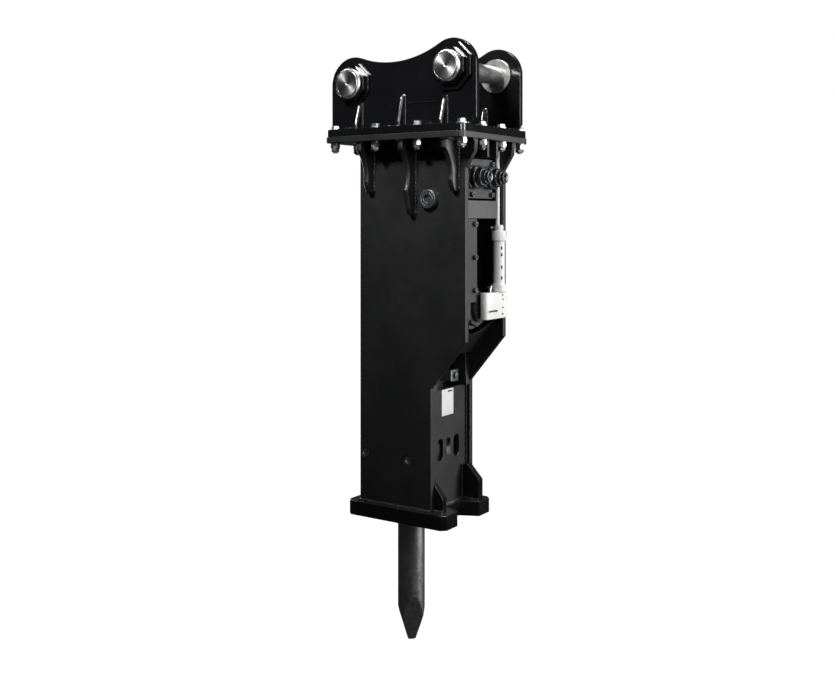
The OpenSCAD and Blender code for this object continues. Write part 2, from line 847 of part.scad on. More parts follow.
bracket_flange();
ear_plate_right();
ear_plate_left();
ear_doublers();
pin_collars();
ear_inner_bosses();
bracket_gussets();
stick_pin();
link_pin();
pin_lock_screws();
flange_bolts();
flange_washers();
flange_nuts();
flange_lock_nuts();
housing_flange();
side_plate_right();
side_plate_left();
back_plate();
flange_ribs();
cross_plate();
front_strip();
housing_plugs();
upper_front_plate();
slanted_front_plate();
lower_front_plate();
base_plate();
base_gussets();
rating_plate();
side_buffer_plugs();
cell_dampers();
side_guides();
back_head();
cylinder_block();  // cylinder
front_head();
tie_rods();
tie_rod_nuts();
seal_carrier();
piston();
upper_bush();
lower_bush();
tool();
retainer_pin_right();
retainer_pin_left();
retainer_stop_pin();
valve_block();
valve_spool();
valve_cap();
accumulator_base();
accumulator_cover();
accumulator_screws();
port_adapter_pressure();
port_adapter_return();
port_flange_screws();
lubricator_tube();
lubricator_caps();
lubricator_follower();
lubricator_pump();
lubricator_plunger();
lubricator_bracket();
lube_line();
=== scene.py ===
"""Looks of the hydraulic breaker hammer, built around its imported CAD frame.

Shapes are written in millimetres in the part's frame and become metres in solid_piece().
"""
import math

import bmesh
import bpy
import numpy as np
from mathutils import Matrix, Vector


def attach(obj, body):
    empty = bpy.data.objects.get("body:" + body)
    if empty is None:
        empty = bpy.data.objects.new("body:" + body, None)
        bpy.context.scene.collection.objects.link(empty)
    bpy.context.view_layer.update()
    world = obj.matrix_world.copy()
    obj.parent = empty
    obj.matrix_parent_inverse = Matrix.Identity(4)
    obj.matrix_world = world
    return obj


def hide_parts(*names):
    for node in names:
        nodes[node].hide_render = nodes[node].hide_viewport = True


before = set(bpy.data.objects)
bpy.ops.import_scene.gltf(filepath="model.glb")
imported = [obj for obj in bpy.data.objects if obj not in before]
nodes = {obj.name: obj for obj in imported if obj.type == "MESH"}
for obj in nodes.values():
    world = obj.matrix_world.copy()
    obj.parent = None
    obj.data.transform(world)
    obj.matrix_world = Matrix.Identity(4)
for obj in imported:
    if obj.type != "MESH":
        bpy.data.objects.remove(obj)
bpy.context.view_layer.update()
scene = bpy.context.scene
scene.view_settings.view_transform = "Standard"

MM = 0.001
TURN = 2 * math.pi
EDGE_ANGLE = 32.0  # degrees: faces that meet at more than this have a sharp edge between them
FLOOR_Z, FLOOR_R, FLOOR_SIDES = -2.512, 30, 64

# ---- camera, floor and light ------------------------------------------------

camera_data = bpy.data.cameras.new("studio_camera")
camera_data.lens = 45.78
camera_data.sensor_width = 36
camera_data.shift_y = -0.1553
camera = bpy.data.objects.new("studio_camera", camera_data)
camera.location = (2.3347, -3.9343, -0.638)
camera.rotation_euler = (math.pi / 2, 0, math.radians(33.84))
scene.collection.objects.link(camera)
scene.camera = camera


def softbox(name, at, aim, size, power, spread=180.0):
    """A square soft light at a point, turned to face another point."""
    light = bpy.data.lights.new(name, "AREA")
    light.shape = "RECTANGLE"
    light.size, light.size_y = size
    light.energy = power
    light.spread = math.radians(spread)
    lamp = bpy.data.objects.new(name, light)
    lamp.location = at
    way = np.array(aim, float) - np.array(at, float)
    lamp.rotation_euler = Vector(way).to_track_quat("-Z", "Y").to_euler()
    lamp.visible_camera = False
    scene.collection.objects.link(lamp)


softbox("softbox_port_side", (3.7, 2.5, 0.2), (-0.1, 0, -0.9), (1.9, 3.4), 215)
softbox("softbox_near_high", (-0.7, -4.2, 3.1), (-0.25, 0, 0.1), (1.2, 0.9), 30, 40)
softbox("softbox_right_low", (4.2, -1.5, 0.3), (0, 0, -1.0), (1.2, 2.6), 52)
softbox("softbox_port_low", (3.2, 1.4, -2.0), (-0.1, 0, -1.0), (1.6, 0.6), 45)
softbox("strip_front_right", (3.7, -2.5, 1.2), (-0.1, -0.1, -0.6), (0.16, 2.6), 70)
softbox("softbox_top", (0.3, -0.4, 3.2), (-0.2, 0, 0), (1.6, 1.6), 55)
softbox("softbox_back_left", (-4.2, 2.2, 0.0), (-0.3, 0, -1.1), (2.0, 3.6), 100)


def studio_world():
    """White behind the object; a faint even fill everywhere else."""
    world = bpy.data.worlds.new("studio")
    world.use_nodes = True
    tree = world.node_tree
    tree.nodes.clear()
    path = tree.nodes.new("ShaderNodeLightPath")
    seen = tree.nodes.new("ShaderNodeBackground")
    seen.inputs["Color"].default_value = (1, 1, 1, 1)
    fill = tree.nodes.new("ShaderNodeBackground")
    fill.inputs["Color"].default_value = (0.92, 0.96, 1, 1)
    fill.inputs["Strength"].default_value = 0.02
    both = tree.nodes.new("ShaderNodeMixShader")
    out = tree.nodes.new("ShaderNodeOutputWorld")
    tree.links.new(path.outputs["Is Camera Ray"], both.inputs[0])
    tree.links.new(fill.outputs[0], both.inputs[1])
    tree.links.new(seen.outputs[0], both.inputs[2])
    tree.links.new(both.outputs[0], out.inputs["Surface"])
    scene.world = world


studio_world()


def pale_floor():
    """A round pale floor just under the tool's tip."""
    mesh = bpy.data.meshes.new("floor")
    angle = np.linspace(0, TURN, FLOOR_SIDES, endpoint=False)
    ring = np.stack([FLOOR_R * np.cos(angle), FLOOR_R * np.sin(angle), np.full(FLOOR_SIDES, FLOOR_Z)], 1)
    mesh.from_pydata(ring.tolist(), [], [list(range(FLOOR_SIDES))])
    floor = bpy.data.objects.new("floor", mesh)
    scene.collection.objects.link(floor)
    pale = bpy.data.materials.new("pale_floor")
    pale.use_nodes = True
    shader = pale.node_tree.nodes["Principled BSDF"]
    shader.inputs["Base Color"].default_value = (0.03, 0.03, 0.03, 1)
    shader.inputs["Roughness"].default_value = 0.9
    shader.inputs["Specular IOR Level"].default_value = 0.1
    shader.inputs["Emission Color"].default_value = (1, 1, 1, 1)
    shader.inputs["Emission Strength"].default_value = 1.0
    mesh.materials.append(pale)
    floor.visible_glossy = False
    floor.visible_diffuse = False


pale_floor()

# ---- finishes ---------------------------------------------------------------


class Finish:
    """A material under construction: its node tree, its shader and its pattern coordinates."""

    def __init__(self, name, centre=(0, 0, 0)):
        self.material = bpy.data.materials.new(name)
        self.material.use_nodes = True
        self.tree = self.material.node_tree
        self.shader = self.tree.nodes["Principled BSDF"]
        place = self.tree.nodes.new("ShaderNodeTexCoord")
        centred = self.add("ShaderNodeMapping", Location=tuple(-c * MM for c in centre))
        self.link(place.outputs["Object"], centred.inputs["Vector"])
        self.at = centred.outputs["Vector"]
        self.bump = None

    def add(self, kind, **values):
        made = self.tree.nodes.new(kind)
        for key, value in values.items():
            made.inputs[key.replace("_", " ")].default_value = value
        return made

    def link(self, a, b):
        self.tree.links.new(a, b)

    def set(self, **values):
        for key, value in values.items():
            self.shader.inputs[key.replace("_", " ")].default_value = value
        return self

    def grain(self, scale, detail=3.0, stretch=(1, 1, 1), roughness=0.55):
        """Noise at so many cells a metre, stretched along an axis where wanted."""
        at = self.at
        if stretch != (1, 1, 1):
            pulled = self.add("ShaderNodeMapping", Scale=stretch)
            self.link(at, pulled.inputs["Vector"])
            at = pulled.outputs["Vector"]
        noise = self.add("ShaderNodeTexNoise", Scale=scale, Detail=detail, Roughness=roughness)
        self.link(at, noise.inputs["Vector"])
        return noise.outputs["Fac"]

    def spread(self, value, low, high, to_low, to_high):
        """Maps a value from one range to another, held at both ends."""
        mapped = self.tree.nodes.new("ShaderNodeMapRange")
        for key, number in zip(("From Min", "From Max", "To Min", "To Max"), (low, high, to_low, to_high)):
            mapped.inputs[key].default_value = number
        self.link(value, mapped.inputs["Value"])
        return mapped.outputs["Result"]

    def mix(self, share, a, b):
        """Colour a turned towards colour b by a share."""
        mixed = self.tree.nodes.new("ShaderNodeMix")
        mixed.data_type = "RGBA"
        self.link(share, mixed.inputs[0])
        for socket, colour in ((mixed.inputs[6], a), (mixed.inputs[7], b)):
            if isinstance(colour, tuple):
                socket.default_value = (*colour, 1)
            else:
                self.link(colour, socket)
        return mixed.outputs[2]

    def times(self, a, b):
        made = self.tree.nodes.new("ShaderNodeMath")
        made.operation = "MULTIPLY"
        self.link(a, made.inputs[0])
        if isinstance(b, (int, float)):
            made.inputs[1].default_value = b
        else:
            self.link(b, made.inputs[1])
        return made.outputs[0]

    def up(self, low=0.35, high=0.95):
        """How far a face looks up, from 0 to 1: where dust settles."""
        facing = self.tree.nodes.new("ShaderNodeNewGeometry")
        parts = self.tree.nodes.new("ShaderNodeSeparateXYZ")
        self.link(facing.outputs["Normal"], parts.inputs[0])
        return self.spread(parts.outputs["Z"], low, high, 0, 1)

    def relief(self, height, distance, strength=1.0):
        """Adds a bump layer; distance is the relief's height in millimetres."""
        layer = self.add("ShaderNodeBump", Strength=strength, Distance=distance * MM)
        self.link(height, layer.inputs["Height"])
        if self.bump is not None:
            self.link(self.bump, layer.inputs["Normal"])
        self.bump = layer.outputs["Normal"]

    def rings(self, axis, pitch):
        """Turned grooves about an axis through the finish's centre, a pitch apart in millimetres."""
        wave = self.add("ShaderNodeTexWave", Scale=TURN / (20 * pitch * MM), Distortion=0.6, Detail=1.0)
        wave.wave_type = "RINGS"
        wave.rings_direction = axis
        self.link(self.at, wave.inputs["Vector"])
        return wave.outputs["Fac"]

    def colour(self, socket):
        self.link(socket, self.shader.inputs["Base Color"])

    def gloss(self, socket):
        self.link(socket, self.shader.inputs["Roughness"])

    def done(self):
        if self.bump is not None:
            self.link(self.bump, self.shader.inputs["Normal"])
        return self.material


def enamel(name, deep, worn, smooth, dull, peel, sag, dust, coat):
    """Sprayed enamel: cloudy colour, patchy gloss, orange peel, a slow sag and dust on upward faces."""
    f = Finish(name)
    cloud = f.spread(f.grain(5, 5), 0.35, 0.7, 0, 1)
    scuff = f.spread(f.grain(38, 8, (1, 1, 0.35), 0.7), 0.6, 0.78, 0, 0.7)
    body = f.mix(cloud, deep, worn)
    rubbed = f.mix(scuff, body, tuple(2.2 * c for c in worn))
    film = f.times(f.up(), f.spread(f.grain(14, 6), 0.35, 0.7, 0.25 * dust, dust))
    f.colour(f.mix(film, rubbed, (0.075, 0.072, 0.068)))
    f.gloss(f.spread(f.grain(9, 6, roughness=0.6), 0.3, 0.72, smooth, dull))
    f.relief(f.grain(3.2, 1.0), sag)
    f.relief(f.grain(260, 2.0), peel, 0.6)
    f.set(Coat_Weight=coat, Coat_Roughness=0.1, IOR=1.5)
    return f.done()


def machined(name, light, dark, smooth, dull, lines, stretch, metallic=1.0, spots=0.2,
             centre=(0, 0, 0), turned=None, waver=0.25):
    """Cut metal: tool lines along one way or round an axis, a cloudy shade and a few dark stains."""
    f = Finish(name, centre)
    stain = f.spread(f.grain(22, 7, roughness=0.65), 0.52, 0.75, 0, spots)
    if turned:
        streak = f.rings(turned, 1.1)
    else:
        streak = f.grain(90, 4, stretch, 0.6)
    body = f.mix(f.spread(streak, 0.3, 0.7, 0, 1), light, tuple(0.82 * c for c in light))
    f.colour(f.mix(stain, body, dark))
    f.gloss(f.spread(f.grain(30, 5), 0.3, 0.7, smooth, dull))
    f.relief(f.grain(7, 2.0), waver)
    f.relief(streak, lines)
    f.set(Metallic=metallic)
    return f.done()


def forged(name, light, dark, smooth, dull, pits):
    """Forged and heat treated steel: mottled scale, small pits and long faint drawing lines."""
    f = Finish(name)
    mottle = f.spread(f.grain(26, 8, (1, 1, 0.5), 0.65), 0.35, 0.68, 0, 1)
    f.colour(f.mix(mottle, light, dark))
    f.gloss(f.spread(f.grain(60, 5), 0.3, 0.7, smooth, dull))
    f.relief(f.grain(12, 3.0), 0.12)
    f.relief(f.grain(170, 5.0, (1, 1, 0.2)), pits, 0.8)
    f.set(Metallic=1.0)
    return f.done()


def moulded(name, light, shade, smooth, dull, grain, speckle=300, soft=0.0):
    """Moulded plastic or rubber: an even colour with faint flow marks and a fine pebble grain."""
    f = Finish(name)
    f.colour(f.mix(f.spread(f.grain(11, 5), 0.3, 0.75, 0, 1), light, shade))
    f.gloss(f.spread(f.grain(45, 4), 0.3, 0.7, smooth, dull))
    f.relief(f.grain(6, 1.0), 0.2)
    f.relief(f.grain(speckle, 3.0), grain, 0.7)
    if soft:
        f.set(Subsurface_Weight=soft, Subsurface_Radius=(0.004, 0.004, 0.004))
    return f.done()


def turned_steel(name, centre):
    """Bright steel off a lathe: fine grooves about the centre, and a sheen that follows them round."""
    material = machined(name, (0.6, 0.6, 0.59), (0.3, 0.29, 0.28), smooth=0.27, dull=0.36, lines=0.003,
                        stretch=(1, 1, 1), spots=0.12, centre=centre, turned="Y", waver=0.02)
    tree = material.node_tree
    shader = tree.nodes["Principled BSDF"]
    shader.inputs["Anisotropic"].default_value = 0.75
    along = tree.nodes.new("ShaderNodeTangent")
    along.direction_type = "UV_MAP"
    along.uv_map = "turning"
    tree.links.new(along.outputs[0], shader.inputs["Tangent"])
    return material


gloss_black = enamel("gloss_black", (0.0022, 0.0023, 0.0027), (0.004, 0.0041, 0.0046),
                     smooth=0.12, dull=0.2, peel=0.05, sag=0.5, dust=0.2, coat=0.5)
satin_black = enamel("satin_black", (0.0055, 0.0057, 0.0062), (0.009, 0.0092, 0.01),
                     smooth=0.36, dull=0.46, peel=0.06, sag=0.5, dust=0.3, coat=0.0)
# The base's paint is the housing's satin black made darker and glossier. The darker colour is painted shade
# for the dim foot of the housing; the gloss is a finish.
base_black_shaded = enamel("base_black_shaded", (0.0024, 0.0025, 0.0028), (0.0042, 0.0043, 0.0047),
                    smooth=0.16, dull=0.28, peel=0.06, sag=0.5, dust=0.3, coat=0.3)
grey_paint = enamel("grey_paint", (0.038, 0.038, 0.04), (0.055, 0.055, 0.058),
                    smooth=0.4, dull=0.5, peel=0.06, sag=0.4, dust=0.3, coat=0.0)
cell_paint = enamel("cell_paint", (0.016, 0.017, 0.019), (0.03, 0.031, 0.034),
                    smooth=0.36, dull=0.5, peel=0.12, sag=0.8, dust=0.35, coat=0.0)
dark_steel = machined("dark_steel", (0.16, 0.165, 0.17), (0.03, 0.03, 0.032),
                      smooth=0.3, dull=0.45, lines=0.02, stretch=(1, 1, 6), metallic=0.9, spots=0.5)
zinc_steel = machined("zinc_steel", (0.8, 0.81, 0.82), (0.3, 0.3, 0.31),
                      smooth=0.24, dull=0.4, lines=0.02, stretch=(3, 3, 1), spots=0.25)
stick_steel = turned_steel("turned_stick_pin", (0, 0, 0))
link_steel = turned_steel("turned_link_pin", (-509, 0, -39))
bare_steel = machined("bare_steel", (0.5, 0.5, 0.49), (0.16, 0.15, 0.14),
                      smooth=0.28, dull=0.42, lines=0.03, stretch=(1, 5, 1), spots=0.4)
ground_steel = machined("ground_steel", (0.66, 0.665, 0.67), (0.3, 0.3, 0.3),
                        smooth=0.16, dull=0.28, lines=0.01, stretch=(1, 1, 8), spots=0.15)
tool_steel = forged("tool_steel", (0.5, 0.5, 0.502), (0.42, 0.418, 0.414), smooth=0.3, dull=0.4, pits=0.1)
port_steel = machined("port_steel", (0.12, 0.122, 0.128), (0.03, 0.03, 0.03),
                      smooth=0.16, dull=0.26, lines=0.02, stretch=(6, 1, 1), metallic=0.85, spots=0.3)
seal_bronze = machined("seal_bronze", (0.46, 0.33, 0.16), (0.2, 0.13, 0.06),
                       smooth=0.3, dull=0.45, lines=0.02, stretch=(1, 1, 6), spots=0.3)
white_plastic = moulded("white_plastic", (0.66, 0.66, 0.65), (0.58, 0.58, 0.57),
                        smooth=0.3, dull=0.42, grain=0.03, speckle=400, soft=0.05)
label_white = moulded("label_white", (0.6, 0.6, 0.59), (0.54, 0.54, 0.53),
                      smooth=0.4, dull=0.55, grain=0.02, speckle=700)
# Black for the printed marks, and for the bar that stands as painted shade in the pump's slot.
mark_and_shade_black = moulded("mark_and_shade_black", (0.012, 0.012, 0.013), (0.02, 0.02, 0.021),
                     smooth=0.4, dull=0.55, grain=0.02, speckle=700)
damper_rubber = moulded("damper_rubber", (0.012, 0.012, 0.013), (0.022, 0.021, 0.02),
                        smooth=0.6, dull=0.8, grain=0.2, speckle=220)
guide_plastic = moulded("guide_plastic", (0.02, 0.07, 0.04), (0.03, 0.09, 0.05),
                        smooth=0.45, dull=0.6, grain=0.08, speckle=260)
follower_rubber = moulded("follower_rubber", (0.02, 0.022, 0.026), (0.03, 0.03, 0.034),
                          smooth=0.45, dull=0.6, grain=0.08)

# Each entry: the slot it stands for (a name that nothing here reads), the finish, the width of a rounded
# edge in millimetres, the nodes.
FINISHES = [
    ("gloss_black", gloss_black, 2.2, [
        "bracket_flange", "ear_plate_right", "ear_plate_left", "ear_doublers", "pin_collars",
        "bracket_gussets"]),
    ("satin_black", satin_black, 2.0, [
        "housing_flange", "side_plate_right", "side_plate_left", "back_plate", "flange_ribs", "front_strip",
        "upper_front_plate", "slanted_front_plate", "lower_front_plate", "lubricator_bracket"]),
    # The base plate and its gussets get the darker copy of satin black, whose colour is painted shade.
    ("satin_black", base_black_shaded, 2.6, ["base_plate", "base_gussets"]),
    ("grey_paint", grey_paint, 1.2, ["cross_plate"]),
    ("cell_paint", cell_paint, 1.5, [
        "back_head", "cylinder", "front_head", "valve_block", "valve_cap", "accumulator_base",
        "accumulator_cover"]),
    ("dark_steel", dark_steel, 0.8, [
        "pin_lock_screws", "tie_rod_nuts", "accumulator_screws", "port_flange_screws", "flange_lock_nuts",
        "housing_plugs", "side_buffer_plugs", "lower_bush"]),
    ("zinc_steel", zinc_steel, 0.8, ["flange_bolts", "flange_washers", "flange_nuts"]),
    ("bare_steel", bare_steel, 1.5, [
        "ear_inner_bosses", "stick_pin", "link_pin", "tie_rods", "retainer_stop_pin"]),
    ("ground_steel", ground_steel, 0.8, [
        "piston", "valve_spool", "lubricator_plunger", "retainer_pin_right", "retainer_pin_left"]),
    ("tool_steel", tool_steel, 1.5, ["tool"]),
    ("port_steel", port_steel, 1.0, ["port_adapter_pressure", "port_adapter_return"]),
    ("seal_bronze", seal_bronze, 0.8, ["seal_carrier", "upper_bush"]),
    ("white_plastic", white_plastic, 1.5, [
        "lubricator_tube", "lubricator_caps", "lubricator_pump", "lube_line"]),
    ("label_white", label_white, 0.3, ["rating_plate"]),
    ("damper_rubber", damper_rubber, 2.0, ["cell_dampers"]),
    ("guide_plastic", guide_plastic, 1.5, ["side_guides"]),
    ("follower_rubber", follower_rubber, 0.8, ["lubricator_follower"]),
]


def dress(name, finish, edge):
    """Gives a CAD node its finish, and a live rounding of its sharp edges to catch the light."""
    part = nodes[name]
    if part.data.materials:
        part.data.materials[0] = finish
    else:
        part.data.materials.append(finish)
    weld = part.modifiers.new("merge", "WELD")
    weld.merge_threshold = 2e-5
    rounding = part.modifiers.new("edge", "BEVEL")
    rounding.width = edge * MM
    rounding.segments = 2
    rounding.limit_method = "ANGLE"
    rounding.angle_limit = math.radians(EDGE_ANGLE)
    rounding.harden_normals = False
    even = part.modifiers.new("even", "WEIGHTED_NORMAL")
    even.weight = 60


# The plates and blocks whose large flat faces are shown by a cleaned copy.
WHOLE = {"bracket_flange", "ear_plate_right", "ear_plate_left", "ear_doublers", "pin_collars",
         "ear_inner_bosses", "housing_flange", "side_plate_right", "side_plate_left", "back_plate",
         "cross_plate", "front_strip", "upper_front_plate", "slanted_front_plate", "lower_front_plate",
         "base_plate", "base_gussets", "valve_block", "accumulator_cover", "lubricator_bracket"}


def whole_copy(name, finish, edge):
    """A node's own shape with each flat face made whole again, so that its rounded rims shade evenly."""
    node = nodes[name]
    mesh = node.data.copy()
    mesh.transform(node.matrix_world)
    work = bmesh.new()
    work.from_mesh(mesh)
    bmesh.ops.remove_doubles(work, verts=work.verts, dist=1e-5)
    bmesh.ops.dissolve_limit(work, angle_limit=math.radians(0.5), verts=work.verts, edges=work.edges)
    bmesh.ops.recalc_face_normals(work, faces=work.faces)
    clean = bpy.data.meshes.new(name + "_finished")
    work.to_mesh(clean)
    work.free()
    clean.shade_smooth()
    clean.set_sharp_from_angle(angle=math.radians(EDGE_ANGLE))
    clean.materials.append(finish)
    piece = bpy.data.objects.new(name + "_finished", clean)
    scene.collection.objects.link(piece)
    rounding = piece.modifiers.new("edge", "BEVEL")
    rounding.width = edge * MM
    rounding.segments = 3
    rounding.limit_method = "ANGLE"
    rounding.angle_limit = math.radians(EDGE_ANGLE)
    rounding.use_clamp_overlap = False
    even = piece.modifiers.new("even", "WEIGHTED_NORMAL")
    even.keep_sharp = False
    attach(piece, "housing")
    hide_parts(name)


for slot_name, finish, edge, members in FINISHES:
    for member in members:
        if member in WHOLE:
            whole_copy(member, finish, edge)
        else:
            dress(member, finish, edge)

# ---- shapes -----------------------------------------------------------------


def grid_faces(rows, columns):
    """Four-cornered faces between neighbouring rows of a grid of points whose columns wrap round."""
    i, j = np.meshgrid(np.arange(rows - 1), np.arange(columns), indexing="ij")
    here, above, k = i * columns, (i + 1) * columns, (j + 1) % columns
    return np.stack([here + j, here + k, above + k, above + j], -1).reshape(-1, 4)


def closed_tube(points):
    """A grid of rings, wrapped round, whose first and last rings are drawn to their middles to close it."""
    first = np.repeat(points[:1].mean(1, keepdims=True), points.shape[1], 1)
    last = np.repeat(points[-1:].mean(1, keepdims=True), points.shape[1], 1)
    full = np.concatenate([first, points, last])
    return full.reshape(-1, 3), grid_faces(full.shape[0], full.shape[1])


def solid_piece(name, shapes, finish, body="housing", crease=EDGE_ANGLE, turning=None):
    """One mesh from several closed shapes in millimetres, merged at its poles, its faces turned outwards,
    riding on a body."""
    counts = np.cumsum([0] + [len(v) for v, _ in shapes])
    verts = np.concatenate([v for v, _ in shapes]) * MM
    faces = np.concatenate([f + c for (_, f), c in zip(shapes, counts)])
    mesh = bpy.data.meshes.new(name)
    mesh.from_pydata(verts.tolist(), [], faces.tolist())
    work = bmesh.new()
    work.from_mesh(mesh)
    bmesh.ops.remove_doubles(work, verts=work.verts, dist=2e-6)
    bmesh.ops.recalc_face_normals(work, faces=work.faces)
    work.to_mesh(mesh)
    work.free()
    mesh.shade_smooth()
    mesh.set_sharp_from_angle(angle=math.radians(crease))
    mesh.materials.append(finish)
    if turning is not None:
        turning_map(mesh, turning)
    piece = bpy.data.objects.new(name, mesh)
    scene.collection.objects.link(piece)
    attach(piece, body)
    return piece


def turning_map(mesh, centre):
    """A map for turned faces: one way the angle about a Y axis through the centre, the other the distance
    from it."""
    co = np.zeros(len(mesh.vertices) * 3)
    mesh.vertices.foreach_get("co", co)
    co = co.reshape(-1, 3)
    loops = np.zeros(len(mesh.loops), int)
    mesh.loops.foreach_get("vertex_index", loops)
    starts = np.zeros(len(mesh.polygons), int)
    sizes = np.zeros(len(mesh.polygons), int)
    mesh.polygons.foreach_get("loop_start", starts)
    mesh.polygons.foreach_get("loop_total", sizes)
    x, z = co[loops, 0] - centre[0] * MM, co[loops, 2] - centre[1] * MM
    angle = np.arctan2(z, x) / TURN
    owner = np.repeat(np.arange(len(sizes)), sizes)
    angle = angle + (angle < angle[starts][owner] - 0.5) - (angle > angle[starts][owner] + 0.5)
    far = np.hypot(x, z) * 10 + co[loops, 1] * 10
    layer = mesh.uv_layers.new(name="turning")
    layer.data.foreach_set("uv", np.stack([angle, far], 1).ravel())


AXES = {"x": np.array([[0, 1, 0], [0, 0, 1], [1, 0, 0]], float),
        "y": np.array([[0, 0, 1], [1, 0, 0], [0, 1, 0]], float),
        "z": np.array([[1, 0, 0], [0, 1, 0], [0, 0, 1]], float)}


def turned(profile, axis, at, sides=64, shape=None):
    """A profile of (radius, place along the axis) turned about that axis through a point.
    shape, where given, is a function of the angle and the place that returns the largest radius there."""
    profile = np.array(profile, float)
    angle = np.linspace(0, TURN, sides, endpoint=False)
    radius = np.repeat(profile[:, :1], sides, 1)
    along = np.repeat(profile[:, 1:], sides, 1)
    if shape is not None:
        radius = np.minimum(radius, shape(angle[None, :], along))
    u, v, w = AXES[axis]
    across, aside = (radius * np.cos(angle))[..., None], (radius * np.sin(angle))[..., None]
    points = across * u + aside * v + along[..., None] * w
    return closed_tube(points + np.array(at, float))


def flats(width, turn=0.0, sides=6):
    """The radius of a regular prism of a width across flats, as a function of the angle."""
    def reach(angle, along):
        part = TURN / sides
        return width / 2 / np.cos((angle + turn) % part - part / 2) + 0 * along
    return reach


def rounded_ends(radius, a, b, cut):
    """A plain bar's profile with its two rims rounded by a quarter circle."""
    way = np.sign(b - a)
    t = np.linspace(0, math.pi / 2, 5)
    rise = [(radius - cut + cut * math.sin(k), a + way * cut * (1 - math.cos(k))) for k in t]
    fall = [(radius - cut + cut * math.cos(k), b - way * cut * (1 - math.sin(k))) for k in t]
    return rise + fall


def threaded(radius, a, b, pitch, at, axis="z", depth=1.3, sides=32):
    """A screw thread: the radius rises and falls once each pitch, and the wave climbs a pitch in a turn."""
    rows = np.arange(a, b, pitch / 6 * np.sign(b - a))
    angle = np.linspace(0, TURN, sides, endpoint=False)
    phase = (rows[:, None] / pitch - angle[None, :] / TURN) % 1
    r = radius - depth * np.abs(2 * phase - 1)
    r[0] -= depth
    r[-1] -= depth
    u, v, w = AXES[axis]
    across, aside = (r * np.cos(angle))[..., None], (r * np.sin(angle))[..., None]
    points = across * u + aside * v + rows[:, None, None] * w
    return closed_tube(points + np.array(at, float))


def rim_outline(x0, x1, y0, y1, radius, inset, per_corner=8):
    """A rectangle's outline with round corners, drawn in by an inset."""
    r = max(radius - inset, 0.01)
    turn = np.linspace(0, math.pi / 2, per_corner)
    corners = [(x1 - radius, y1 - radius, 0), (x0 + radius, y1 - radius, 1),
               (x0 + radius, y0 + radius, 2), (x1 - radius, y0 + radius, 3)]
    return np.concatenate([np.stack([cx + r * np.cos(turn + q * math.pi / 2),
                                     cy + r * np.sin(turn + q * math.pi / 2)], 1) for cx, cy, q in corners])


def soft_slab(x, y, z, radius, edge, axis="z"):
    """A slab with round corners, carried along an axis, its rims rounded by a quarter circle.
    x and y are its two spans across the axis and z its span along it."""
    t = np.linspace(0, math.pi / 2, 5)
    levels = [(edge * (1 - math.sin(k)), z[0] + edge * (1 - math.cos(k))) for k in t]
    levels += [(edge * (1 - math.cos(k)), z[1] - edge * (1 - math.sin(k))) for k in t]
    u, v, w = AXES[axis]
    rings = []
    for inset, height in levels:
        flat = rim_outline(x[0], x[1], y[0], y[1], radius, inset)
        rings.append(flat[:, :1] * u + flat[:, 1:] * v + height * w)
    return closed_tube(np.array(rings))


def along_path(corners, step, closed=False):
    """Points a step apart along a line through the corners, with the way forward at each."""
    corners = np.array(corners, float)
    if closed:
        corners = np.concatenate([corners, corners[:1]])
    reach = np.concatenate([[0], np.cumsum(np.linalg.norm(np.diff(corners, axis=0), axis=1))])
    count = max(int(reach[-1] / step), 4)
    s = np.linspace(0, reach[-1], count + 1)
    points = np.stack([np.interp(s, reach, corners[:, k]) for k in range(3)], 1)
    if closed:
        way = np.roll(points[:-1], -1, 0) - np.roll(points[:-1], 1, 0)
        way = np.concatenate([way, way[:1]])
    else:
        way = np.gradient(points, axis=0)
    return s, points, way / np.linalg.norm(way, axis=1, keepdims=True)


def bead(corners, wall, side, leg, closed=False, flat=0.32, pitch=5.5):
    """A weld bead along a corner line. wall is the way up the standing wall, and side says which hand
    the other wall is on.
    Across it runs a bowed line from one wall to the other; along it the bow swells once each pitch,
    each swell bent forward in the middle as the pool was, and the legs wander slowly."""
    s, points, way = along_path(corners, 1.9, closed)
    up = np.array(wall, float)
    out = side * np.cross(way, up)
    out /= np.linalg.norm(out, axis=1, keepdims=True)
    t = np.linspace(0, 1, 7)
    ripple = np.abs(np.sin(math.pi * (s[:, None] / pitch - 0.55 * np.sin(math.pi * t)[None, :])))
    slow, quick = s * 0.11 + points[:, 0] * 0.05, s * 0.37 + points[:, 2] * 0.03
    wander = 1 + 0.07 * np.sin(slow) + 0.05 * np.sin(quick)
    size = leg * wander[:, None]
    swell = size * (flat + 0.14 * ripple) * np.sin(math.pi * t)
    a = size * (1 - t) + swell * 0.7
    b = size * t + swell * 0.7
    skin = points[:, None] + a[..., None] * out[:, None] + b[..., None] * up
    root = points[:, None] - 0.8 * out[:, None] - 0.8 * up
    rings = np.concatenate([skin, root], 1)
    if closed:
        rings[-1] = rings[0]
        return rings.reshape(-1, 3), grid_faces(rings.shape[0], rings.shape[1])
    return closed_tube(rings)


def octagon(x, z, width, y):
    """The corners of an octagon about a pin, in the plane at y."""
    angle = np.radians(22.5 + 45 * np.arange(8))
    r = width / 2 / math.cos(math.radians(22.5))
    return np.stack([x + r * np.cos(angle), np.full(8, y), z + r * np.sin(angle)], 1)


# ---- sizes taken over from the frame ----------------------------------------

